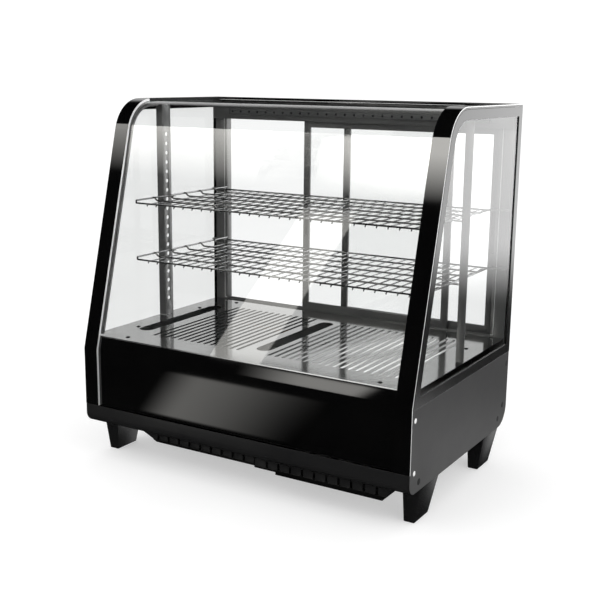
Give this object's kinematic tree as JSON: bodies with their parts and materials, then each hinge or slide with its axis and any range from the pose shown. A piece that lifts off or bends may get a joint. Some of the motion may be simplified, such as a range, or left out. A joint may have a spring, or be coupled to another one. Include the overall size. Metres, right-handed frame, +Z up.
{
  "type": "hot food display case",
  "caption": "Counter-top food display case: black body on four feet, sloped curved front glass, glass sides, two wire shelves, slotted steel floor and sliding rear doors.",
  "frame": {"origin": "under the middle of the case, at the level of the feet", "axes": "+Z up, +X to the right as seen from the customer's side, +Y to the rear (the sliding doors)"},
  "size_m": [0.682, 0.45, 0.675],
  "materials": {
    "satin_black_steel": "satin black powder coat",
    "black_gloss": "high-gloss black",
    "clear_glass": "clear toughened glass",
    "stainless_steel": "polished stainless steel",
    "chrome_wire": "chrome plated wire",
    "plated_steel": "zinc plated sheet",
    "black_plastic": "moulded black plastic",
    "grey_plastic": "moulded grey plastic",
    "white_plastic": "moulded white plastic",
    "led_diffuser": "opal lamp cover",
    "display_window": "dark display window",
    "copper": "copper sensor bulb"
  },
  "bodies": {
    "cabinet": {"air_duct": "plated_steel", "base_plate": "satin_black_steel", "bottom_door_track": "satin_black_steel", "control_fascia": "black_plastic", "display_floor": "stainless_steel", "element_bracket_left": "plated_steel", "element_bracket_right": "plated_steel", "fan_bulkhead": "plated_steel", "fan_housing": "black_plastic", "fan_motor": "plated_steel", "foot_front_left": "black_plastic", "foot_front_right": "black_plastic", "foot_rear_left": "black_plastic", "foot_rear_right": "black_plastic", "front_glass": "clear_glass", "front_panel": "black_gloss", "front_rail": "satin_black_steel", "heating_element": "stainless_steel", "led_driver": "white_plastic", "led_strip": "led_diffuser", "lower_clip_left": "plated_steel", "lower_clip_right": "plated_steel", "mains_inlet": "black_plastic", "rear_beam": "satin_black_steel", "rear_panel": "satin_black_steel", "rear_post_left": "satin_black_steel", "rear_post_right": "satin_black_steel", "shelf_upright_left": "satin_black_steel", "shelf_upright_right": "satin_black_steel", "side_frame_left": "satin_black_steel", "side_frame_right": "satin_black_steel", "side_glass_left": "clear_glass", "side_glass_right": "clear_glass", "side_panel_left": "satin_black_steel", "side_panel_right": "satin_black_steel", "temperature_display": "display_window", "terminal_block": "grey_plastic", "thermostat_body": "grey_plastic", "thermostat_bulb": "copper", "top_cover": "black_gloss", "top_door_track": "satin_black_steel", "trim_band_left": "black_gloss", "trim_band_right": "black_gloss", "upper_clip_left": "plated_steel", "upper_clip_right": "plated_steel", "vent_guard_left": "black_plastic", "vent_guard_right": "black_plastic"},
    "inner_door": {"inner_door_frame": "satin_black_steel", "inner_door_glass": "clear_glass", "inner_door_pull": "black_plastic"},
    "outer_door": {"outer_door_frame": "satin_black_steel", "outer_door_glass": "clear_glass", "outer_door_pull": "black_plastic"},
    "upper_shelf": {"upper_shelf": "chrome_wire"},
    "lower_shelf": {"lower_shelf": "chrome_wire"},
    "fan_rotor": {"fan_rotor": "black_plastic"},
    "power_switch": {"power_rocker": "black_plastic"},
    "light_switch": {"light_rocker": "black_plastic"},
    "thermostat_knob": {"thermostat_knob": "black_plastic"}
  },
  "joints": [
    {"name": "inner_door_slide", "type": "slide", "parent": "cabinet", "child": "inner_door", "axis": [1, 0, 0], "range_m": [-0.1905, 0.0885]},
    {"name": "outer_door_slide", "type": "slide", "parent": "cabinet", "child": "outer_door", "axis": [1, 0, 0], "range_m": [-0.2795, 0]},
    {"name": "upper_shelf_lift", "type": "slide", "parent": "cabinet", "child": "upper_shelf", "axis": [0, 0, 1], "range_m": [0, 0.01]},
    {"name": "lower_shelf_lift", "type": "slide", "parent": "cabinet", "child": "lower_shelf", "axis": [0, 0, 1], "range_m": [0, 0.01]},
    {"name": "fan_spin", "type": "hinge", "parent": "cabinet", "child": "fan_rotor", "pos_m": [0.018, -0.005, 0.18], "axis": [1, 0, 0], "continuous": true},
    {"name": "power_switch_tilt", "type": "hinge", "parent": "cabinet", "child": "power_switch", "pos_m": [0.225, 0.2185, 0.153], "axis": [1, 0, 0], "range_deg": [-12, 0]},
    {"name": "light_switch_tilt", "type": "hinge", "parent": "cabinet", "child": "light_switch", "pos_m": [0.197, 0.2185, 0.153], "axis": [1, 0, 0], "range_deg": [-12, 0]},
    {"name": "thermostat_turn", "type": "hinge", "parent": "cabinet", "child": "thermostat_knob", "pos_m": [0.1, 0.2226, 0.153], "axis": [0, 1, 0], "range_deg": [0, 300]}
  ]
}
